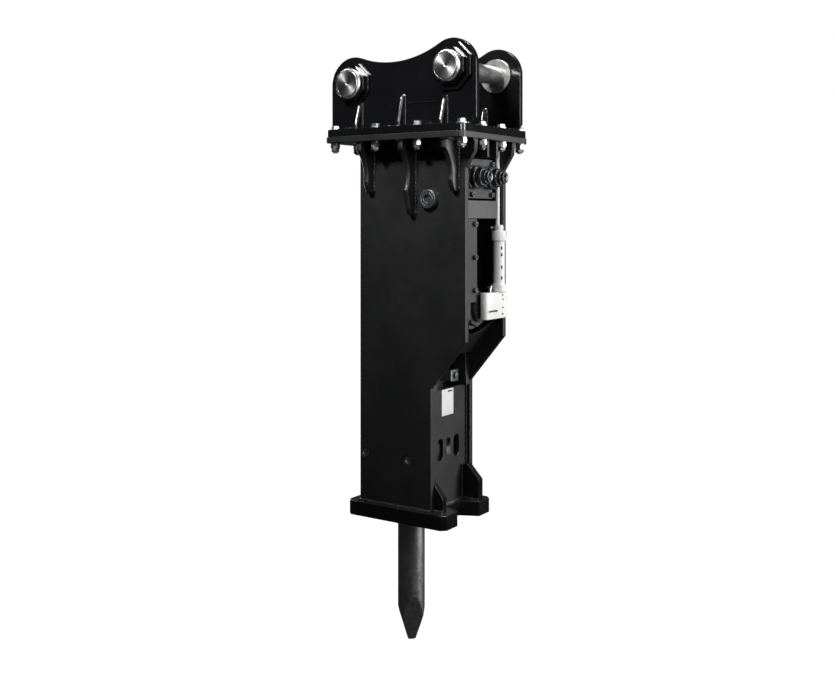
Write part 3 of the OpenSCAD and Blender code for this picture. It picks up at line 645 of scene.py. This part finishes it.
PINS = [(0.0, 0.0), (-509.0, -39.0)]
BOLT_X = [-575, -357, -139, 79]
BOLT_Y = [-245, -82, 82, 245]
BOLTS = [(x, y) for x in BOLT_X for y in (BOLT_Y[0], BOLT_Y[3])]
BOLTS += [(x, y) for x in (BOLT_X[0], BOLT_X[3]) for y in BOLT_Y[1:3]]
FLANGE_TOP = -241
FLANGE_BOTTOM = -299
EAR_IN, EAR_OUT = 175, 200
SIDE_OUT, SIDE_IN = 172, 147
BASE_TOP = -1875
TOOL_X = -336
EAR_BACK, EAR_FRONT = -601, 98
SIDE_BACK, SIDE_FRONT = -492, 96
UPPER_FACE, LOWER_FACE = 30, -140  # the front faces' places along X, above and below the slanted plate
SLANT_TOP, SLANT_FOOT = (30, -1059), (-101, -1224)
PORT_FACE, PORT_Z = 20.0, -455

# ---- weld beads -------------------------------------------------------------


def horseshoe(x, half, y, z, ends, fixed):
    """A U line round a thin gusset: up one side, over its nose and down the other.
    ends are where the sides start and the nose lies, along the axis that is not fixed."""
    a, b = ends
    back = a + (b - a) * 0.97
    line = [(-half, a), (-half, back), (-0.4 * half, b), (0.4 * half, b), (half, back), (half, a)]
    if fixed == "y":
        return [(x + dx, y, p) for dx, p in line]
    return [(x + dx, p, z) for dx, p in line]


def finger(x, wall, out, foot, way, rows, half):
    """A thin gusset that stands out from a wall: at each height a strip with the reach given there,
    whose nose is two quarter circles, closed by a rim drawn in at its free end."""
    t = np.linspace(0, math.pi / 2, 6)
    height, reach = rows[-1]
    rows = [(h, r, 0.0) for h, r in rows[:-1]]
    rows += [(height - 2.5, reach, 0.0), (height - 0.7, reach - 1, 1.0), (height, reach - 3, 3.0)]
    rings = []
    for h, r, inset in rows:
        w = half - inset
        nose = min(0.85 * w, r - 1)
        right = [(w - nose + nose * math.cos(k), r - nose + nose * math.sin(k)) for k in t]
        left = [(-a, b) for a, b in reversed(right)]
        outline = [(w, -1)] + right + left + [(-w, -1)]
        rings.append([(x + a, wall + out * b, foot + way * h) for a, b in outline])
    return closed_tube(np.array(rings))


OUTER_REACH, INNER_REACH, GUSSET_HALF = 46, 44, 11
RIB_REACH, RIB_HALF = 105, 13


def gusset_rows(rise, reach):
    """The upright gusset's reach at each height: a short foot, a long slope and a narrow head."""
    h = np.linspace(0, rise, 24)
    return list(zip(h, np.interp(h, [0, 16, rise - 8, rise], [reach, reach, 18, 12])))


def rib_rows(depth):
    """The hanging rib's reach at each depth: a deep head, a hollow cut by a circle and a narrow tail."""
    h = np.linspace(0, depth, 40)
    plain = np.interp(h, [0, 40, depth - 24, depth], [RIB_REACH, RIB_REACH, 44, 30])
    inside = np.clip(140.0 ** 2 - (h - 150) ** 2, 0, None)
    return list(zip(h, np.minimum(plain, 190 - np.sqrt(inside) + 1000 * (inside <= 0))))


OUTER_GUSSETS = [(-470, 114), (-244, 138), (-31, 118)]
INNER_GUSSETS = [(-450, 100), (-255, 100), (-60, 100)]
RIBS = [(-428, 219), (-211, 316), (5, 217)]
fingers, tails = [], []
for s in (-1, 1):
    for x, rise in OUTER_GUSSETS:
        rows = gusset_rows(rise, OUTER_REACH)
        fingers.append(finger(x, s * EAR_OUT, s, FLANGE_TOP, 1, rows, GUSSET_HALF))
    for x, rise in INNER_GUSSETS:
        rows = gusset_rows(rise, INNER_REACH)
        fingers.append(finger(x, s * EAR_IN, -s, FLANGE_TOP, 1, rows, GUSSET_HALF))
    for x, depth in RIBS:
        tails.append(finger(x, s * SIDE_OUT, s, FLANGE_BOTTOM, -1, rib_rows(depth), RIB_HALF))
for y in (-38, 38):
    tails.append(soft_slab((y - 8, y + 8), (-372, FLANGE_BOTTOM), (20, 84), 2, 2, "x"))
finger_piece = solid_piece("bracket_gussets_rounded", fingers, gloss_black)
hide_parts("bracket_gussets")
tail_piece = solid_piece("flange_ribs_rounded", tails, satin_black)
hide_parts("flange_ribs")

UP, DOWN, FRONT, BACK = (0, 0, 1), (0, 0, -1), (1, 0, 0), (-1, 0, 0)


def along_x(x0, x1, y, z):
    """The two ends of a line along X."""
    return [(x0, y, z), (x1, y, z)]


def upright(x, y, z0, z1):
    """The two ends of an upright line."""
    return [(x, y, z0), (x, y, z1)]


bracket_welds = []
for s in (-1, 1):
    outer, inner = s * EAR_OUT, s * EAR_IN
    bracket_welds.append(bead(along_x(EAR_BACK, EAR_FRONT, outer, FLANGE_TOP), UP, -s, 9))
    bracket_welds.append(bead(along_x(EAR_BACK, EAR_FRONT, inner, FLANGE_TOP), UP, s, 9))
    for x, rise in OUTER_GUSSETS:
        up = horseshoe(x, GUSSET_HALF, outer, 0, (FLANGE_TOP, FLANGE_TOP + rise), "y")
        bracket_welds.append(bead(up, (0, s, 0), s, 6))
        foot = horseshoe(x, GUSSET_HALF, 0, FLANGE_TOP, (outer, s * (EAR_OUT + OUTER_REACH)), "z")
        bracket_welds.append(bead(foot, UP, -s, 6))
    for x, rise in INNER_GUSSETS:
        up = horseshoe(x, GUSSET_HALF, inner, 0, (FLANGE_TOP, FLANGE_TOP + rise), "y")
        bracket_welds.append(bead(up, (0, -s, 0), -s, 6))
        foot = horseshoe(x, GUSSET_HALF, 0, FLANGE_TOP, (inner, s * (EAR_IN - INNER_REACH)), "z")
        bracket_welds.append(bead(foot, UP, s, 6))
    bracket_welds.append(bead(along_x(-268, -30, outer, -142), (0, s, 0), s, 4))
    for (x, z), width in zip(PINS, (196, 176)):
        bracket_welds.append(bead(octagon(x, z, width, outer), (0, s, 0), s, 8, True))
        bracket_welds.append(bead(octagon(x, z, 150, s * 212), (0, s, 0), s, 7, True))
solid_piece("bracket_weld_beads", bracket_welds, gloss_black, crease=60)

housing_welds = []
for s in (-1, 1):
    outer, inner = s * SIDE_OUT, s * SIDE_IN
    housing_welds.append(bead(along_x(SIDE_BACK, SIDE_FRONT, outer, FLANGE_BOTTOM), DOWN, s, 9))
    housing_welds.append(bead(along_x(SIDE_BACK, -120, outer, BASE_TOP), UP, -s, 10))
    for x, depth in RIBS:
        down = horseshoe(x, RIB_HALF, outer, 0, (FLANGE_BOTTOM, FLANGE_BOTTOM - depth - 1), "y")
        housing_welds.append(bead(down, (0, s, 0), -s, 8))
        head = horseshoe(x, RIB_HALF, 0, FLANGE_BOTTOM, (outer, s * (SIDE_OUT + RIB_REACH)), "z")
        housing_welds.append(bead(head, DOWN, s, 8))
    housing_welds.append(bead(upright(LOWER_FACE, inner, -1720, -1374), FRONT, -s, 7))
    housing_welds.append(bead(upright(UPPER_FACE, inner, SLANT_TOP[1], -986), FRONT, -s, 6))
    slant = [(SLANT_TOP[0], inner, SLANT_TOP[1]), (SLANT_FOOT[0], inner, SLANT_FOOT[1])]
    housing_welds.append(bead(slant, (0.783, 0, -0.622), s, 6))
    housing_welds.append(bead(upright(-488, inner, BASE_TOP, FLANGE_BOTTOM), BACK, -s, 5))
    gusset_y, gusset_end, gusset_top = (-115, -78, -1760) if s < 0 else (111, -54, -1722)
    housing_welds.append(bead(along_x(LOWER_FACE, gusset_end, gusset_y, BASE_TOP), UP, s, 8))
    housing_welds.append(bead(upright(LOWER_FACE, gusset_y, BASE_TOP, gusset_top), FRONT, -s, 8))
    housing_welds.append(bead(along_x(-120, gusset_end, inner, BASE_TOP), UP, -s, 8))
for x, y, z, wall, side in ((LOWER_FACE, 110, BASE_TOP, UP, 1), (SIDE_BACK, SIDE_OUT, BASE_TOP, UP, -1),
                            (SIDE_BACK, SIDE_OUT, FLANGE_BOTTOM, DOWN, 1)):
    housing_welds.append(bead([(x, -y, z), (x, y, z)], wall, side, 9))
solid_piece("housing_weld_beads", housing_welds, satin_black, crease=60)

# ---- bracket pins -----------------------------------------------------------


def bracket_pin(name, x, z, finish, body):
    """A turned pin: shaft, wide head with a stepped rim, raised face, ring groove and centre mark."""
    head = [(62, -230.3), (66, -232), (67, -234), (67, -241), (64, -245), (59.5, -246), (58.3, -245),
            (57.6, -243.5), (57, -243.5), (56.6, -246), (55, -249), (54, -250), (8, -250), (7, -248.5),
            (4, -247.5), (1, -247)]
    shaft = [(40, -230.3), (40, -165.2), (38.5, -165), (38.5, -160), (40, -159.8), (40, 159.8), (38.5, 160),
             (38.5, 165), (40, 165.2), (40, 229), (38, 232)]
    shapes = [turned(head, "y", (x, 0, z), 128), turned(shaft, "y", (x, 0, z), 128)]
    pin = solid_piece(name, shapes, finish, body, 25, turning=(x, z))
    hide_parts(body)


bracket_pin("stick_pin_turned", *PINS[0], stick_steel, "stick_pin")
bracket_pin("link_pin_turned", *PINS[1], link_steel, "link_pin")

# ---- flange fasteners -------------------------------------------------------


def hexagon_nut(x, y, a, b, width, turn=0.0):
    """A hexagon prism whose two rims are cut by a cone, so that each flat ends in an arc."""
    c = np.sign(b - a)
    big = width / 2 / math.cos(math.pi / 6) + 0.2
    rows = [(width / 2 * 0.93, a), (width / 2 * 0.98, a + 0.4 * c), (big, a + 3.0 * c), (big, b - 3.0 * c),
            (width / 2 * 0.98, b - 0.4 * c), (width / 2 * 0.93, b)]
    fine = []
    for (r0, h0), (r1, h1) in zip(rows[:-1], rows[1:]):
        k = np.linspace(0, 1, 6, endpoint=False)
        fine += list(zip(r0 + (r1 - r0) * k, h0 + (h1 - h0) * k))
    fine.append(rows[-1])
    return turned(fine, "z", (x, y, 0), 48, flats(width, turn))


turns = [0.13 * k * 1.7 for k in range(len(BOLTS))]  # no two nuts stand at the same angle
heads, nuts, jam_nuts, studs = [], [], [], []
for (x, y), turn in zip(BOLTS, turns):
    heads.append(hexagon_nut(x, y, FLANGE_TOP + 4, FLANGE_TOP + 18, 32, turn))
    nuts.append(hexagon_nut(x, y, FLANGE_BOTTOM - 4, FLANGE_BOTTOM - 24, 36, turn + 0.4))
    jam_nuts.append(hexagon_nut(x, y, FLANGE_BOTTOM - 24, FLANGE_BOTTOM - 38, 34, turn + 0.9))
    studs.append(threaded(12, FLANGE_BOTTOM - 37, FLANGE_BOTTOM - 44, 3, (x, y, 0)))
    studs.append(turned([(11.8, FLANGE_TOP + 5), (11.8, FLANGE_BOTTOM - 37.5)], "z", (x, y, 0), 32))
bolt_heads = solid_piece("flange_bolt_heads", heads + studs, zinc_steel, crease=24)
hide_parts("flange_bolts")
full_nuts = solid_piece("flange_full_nuts", nuts, zinc_steel, crease=24)
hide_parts("flange_nuts")
thin_nuts = solid_piece("flange_jam_nuts", jam_nuts, dark_steel, crease=24)
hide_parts("flange_lock_nuts")

# ---- hose ports -------------------------------------------------------------


def hose_port(name, y, node):
    """A stepped adapter: chamfered rings, a hexagon, ridged bands and an open mouth with a fine thread."""
    x, at = PORT_FACE, (0, y, PORT_Z)
    shapes = []
    steps = [(52, 14), (44, 12), (49, 12), (36, 14), (40, 10), (30, 16), (24, 12)]
    for number, (radius, length) in enumerate(steps):
        if number == 3:
            body = turned(rounded_ends(42, x - 0.2, x + length + 0.2, 2), "x", at, 72, flats(72, 0.3))
        elif number < 6:
            cut = 3 if number < 3 else 2
            body = turned(rounded_ends(radius, x - 0.2, x + length, cut), "x", at, 96)
        else:
            mouth = rounded_ends(radius, x - 0.2, x + length, 2)
            bore = [(14.5, x + length)]
            for k in range(18):
                bore += [(12.6 if k % 2 else 11.4, x + length - 1.2 - 1.1 * k)]
            bore += [(9, x + length - 21), (9, x - 15)]
            body = turned(mouth + bore, "x", at, 72)
        shapes.append(body)
        x += length
    for a, r in ((24, 52.6), (50, 49.6)):
        shapes.append(turned([(r - 3, a), (r, a + 1), (r, a + 3), (r - 3, a + 4)], "x", at, 96))
    piece = solid_piece(name, shapes, port_steel, crease=26)
    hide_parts(node)


hose_port("pressure_port_rings", -65, "port_adapter_pressure")
hose_port("return_port_rings", 65, "port_adapter_return")


def socket_screw(x, y, z, d):
    """A socket head that faces forward, with a rounded rim, straight knurling as a fine wave of the radius,
    and a round hole."""
    r, h = 0.8 * d, d
    rows = [(r, -1), (r, h * 0.8), (r * 0.97, h * 0.93), (r * 0.88, h), (r * 0.56, h), (r * 0.5, h * 0.95),
            (r * 0.5, h * 0.45), (r * 0.1, h * 0.4)]

    def knurl(angle, along):
        wave = r * (1 - 0.03 * (0.5 + 0.5 * np.cos(angle * 24)))
        return np.where(np.abs(along) < h * 0.85, wave, r) + 0 * along
    return turned(rows, "x", (x, y, z), 72, knurl)


PORT_SCREWS = ((-73, -528), (92, -528), (-97, -395), (97, -395))
port_screws = [socket_screw(PORT_FACE, y, z, 14) for y, z in PORT_SCREWS]
port_screw_piece = solid_piece("port_flange_socket_screws", port_screws, dark_steel)
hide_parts("port_flange_screws")

# ---- lubricator -------------------------------------------------------------

LUBE = (59, 94, 0)


def ribbed(count, depth, radius):
    """A cap's grip: the radius dips once for each rib round the edge."""
    def reach(angle, along):
        return radius - depth * np.clip(np.cos(angle * count), 0, 1) ** 4 + 0 * along
    return reach


upper_cap = turned(rounded_ends(33, -727, -683, 3), "z", LUBE, 192, ribbed(32, 0.9, 33))
shoulder = turned([(21, -684), (21, -681), (20, -679), (18, -678), (18, -675), (21, -674), (21, -668),
                   (19, -666), (19, -661), (17, -658)], "z", LUBE, 64)
lower_cap = turned(rounded_ends(33, -948, -915, 3), "z", LUBE, 64)
lower_band = turned([(30, -928), (33.6, -927), (33.6, -921), (30, -920)], "z", LUBE, 64)
cap_shapes = [upper_cap, shoulder, lower_cap, lower_band]
caps = solid_piece("lubricator_end_caps", cap_shapes, white_plastic)
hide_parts("lubricator_caps")

tube_wall = [(26, -915.5), (26, -914), (26, -728), (26, -726.5), (22.2, -726.5), (22.2, -915.5)]


def hollow_turned(profile, axis, at, sides=64):
    """A closed profile turned about an axis without meeting it: a ring or a tube."""
    profile = np.array(profile + profile[:1], float)
    angle = np.linspace(0, TURN, sides, endpoint=False)
    u, v, w = AXES[axis]
    ring = np.cos(angle)[:, None] * u + np.sin(angle)[:, None] * v
    points = profile[:, :1, None] * ring[None] + profile[:, 1:, None] * w + np.array(at, float)
    return points.reshape(-1, 3), grid_faces(points.shape[0], sides)


tube_shape = hollow_turned(tube_wall, "z", LUBE, 96)
tube_piece = solid_piece("lubricator_cartridge", [tube_shape], white_plastic)
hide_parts("lubricator_tube")


def wrapped_patch(radius, angle0, angle1, z0, z1, at, thick=0.5):
    """A thin patch bent round an upright tube between two angles and two heights."""
    angle = np.radians(np.linspace(angle0, angle1, 7))
    outline = [(radius - 0.3, z0), (radius + thick, z0), (radius + thick, z1), (radius - 0.3, z1)]
    rings = [[(r * math.cos(a) + at[0], r * math.sin(a) + at[1], z) for r, z in outline] for a in angle]
    return closed_tube(np.array(rings))


# The scale on the cartridge: four short plain bars that face the hose side.
bars = [wrapped_patch(26, -40, -22, z - 7, z + 7, LUBE) for z in (-887, -841, -787, -758)]
solid_piece("lubricator_scale_bars", bars, mark_and_shade_black)

pump_body = soft_slab((34, 74), (-36, 143), (-1062, -948), 17, 3)
pump_cheek = soft_slab((33, 75), (96, 143.5), (-1060, -950), 12, 3)
pump_piece = solid_piece("lubricator_pump_body", [pump_body, pump_cheek], white_plastic)
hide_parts("lubricator_pump")
window_frame = soft_slab((-24, 59), (-1034, -1020), (72, 75.2), 6.5, 1, "x")
# The pump's slot is not cut. A black bar stands a little proud of the window frame in its place: painted
# shade for the slot's dark recess.
slot_shade_bar = soft_slab((-20, 55), (-1031, -1023), (73, 75.7), 3.8, 0.5, "x")
solid_piece("pump_window_frame", [window_frame], white_plastic)
pump_marks_and_slot_shade = [slot_shade_bar]
for z in (-962, -980, -1016, -1044):
    pump_marks_and_slot_shade.append(turned(rounded_ends(4, 74, 76.6, 0.8), "x", (0, 102, z), 24))
solid_piece("pump_marks_and_slot_shade", pump_marks_and_slot_shade, mark_and_shade_black)

# ---- plugs, label and small parts -------------------------------------------

buffer_rows = [(42, SIDE_IN), (42, SIDE_OUT + 14), (41, SIDE_OUT + 19), (37, SIDE_OUT + 22),
               (29, SIDE_OUT + 22), (27.5, SIDE_OUT + 20.5), (26, SIDE_OUT + 22), (19, SIDE_OUT + 22),
               (17.5, SIDE_OUT + 20), (17.5, SIDE_OUT + 12), (2, SIDE_OUT + 12)]
plugs = [turned([(r, s * h) for r, h in buffer_rows], "y", (-126, 0, -548), 96) for s in (-1, 1)]
plug_piece = solid_piece("side_buffer_plugs_turned", plugs, dark_steel)
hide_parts("side_buffer_plugs")

label = soft_slab((-56, 38), (-1488, -1374), (-140, -138.2), 3, 0.4, "x")
label_piece = solid_piece("rating_plate_blank", [label], label_white)
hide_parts("rating_plate")
label_bar = soft_slab((-8, 30), (-1388, -1381), (-138.4, -137.9), 1, 0.2, "x")
solid_piece("rating_plate_bar", [label_bar], mark_and_shade_black)

# The strip's screws, the round plugs in the side plates and the grease block with its round boss.
small_parts = [socket_screw(35, -73, z, 14) for z in (-654, -795, -934)]
side_plug_rows = [(19.5, SIDE_IN), (19.5, SIDE_OUT - 5), (18, SIDE_OUT - 3), (15, SIDE_OUT - 3.4),
                  (13, SIDE_OUT - 7), (0.5, SIDE_OUT - 7.5)]
for x, z in ((-466, -1661), (-237, -1667)):
    for s in (-1, 1):
        small_parts.append(turned([(r, s * h) for r, h in side_plug_rows], "y", (x, 0, z), 64))
small_parts.append(soft_slab((40, 104), (-1352, -1300), (-211, -152), 4, 2, "x"))
small_parts.append(turned(rounded_ends(14, -153, -140, 2), "x", (0, 72, -1325), 48))
guide_piece = solid_piece("guide_socket_screws", small_parts, dark_steel)
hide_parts("housing_plugs")
lock_plug = soft_slab((-22, 12), (-1662, -1626), (-141, -136), 4, 1.2, "x")
solid_piece("retainer_lock_plug", [lock_plug], dark_steel)

# ---- working tool -----------------------------------------------------------

TOOL_R = 60
TIP_Z = -2508
TIP_HALF = 15
BROAD, NARROW = math.tan(math.radians(12.5)), math.tan(math.radians(16.5))
FLAT_LOW, FLAT_HIGH = -1732.5, -1585.2
FLAT_HALF = 43.7


def tool_limit(angle, along):
    """The working tool's radius: a round bar, cut by four sloping facets that meet at the blunt tip,
    and by two flats inside the housing where the retaining pins pass."""
    rise = along - TIP_Z
    broad = (TIP_HALF + rise * BROAD) / np.maximum(np.abs(np.cos(angle + math.pi / 4)), 1e-6)
    narrow = (TIP_HALF + rise * NARROW) / np.maximum(np.abs(np.cos(angle - math.pi / 4)), 1e-6)
    facet = np.minimum(broad, narrow)
    flat = FLAT_HALF / np.maximum(np.abs(np.sin(angle)), 1e-6)
    inside = (along > FLAT_LOW) & (along < FLAT_HIGH)
    return np.where(inside, np.minimum(facet, flat), facet)


places = np.concatenate([
    np.linspace(TIP_Z, TIP_Z + 230, 90), np.linspace(TIP_Z + 240, FLAT_LOW - 0.05, 60),
    [FLAT_LOW + 0.05, FLAT_HIGH - 0.05, FLAT_HIGH + 0.05, -1566]])
places[0] += 2.5
tool_rows = [(TIP_HALF * 0.75, TIP_Z)] + [(TOOL_R, h) for h in places] + [(TOOL_R - 4, -1560)]
tool_shape = turned(tool_rows, "z", (TOOL_X, 0, 0), 160, tool_limit)
tool_piece = solid_piece("moil_point_tool", [tool_shape], tool_steel, "tool", 14)
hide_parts("tool")
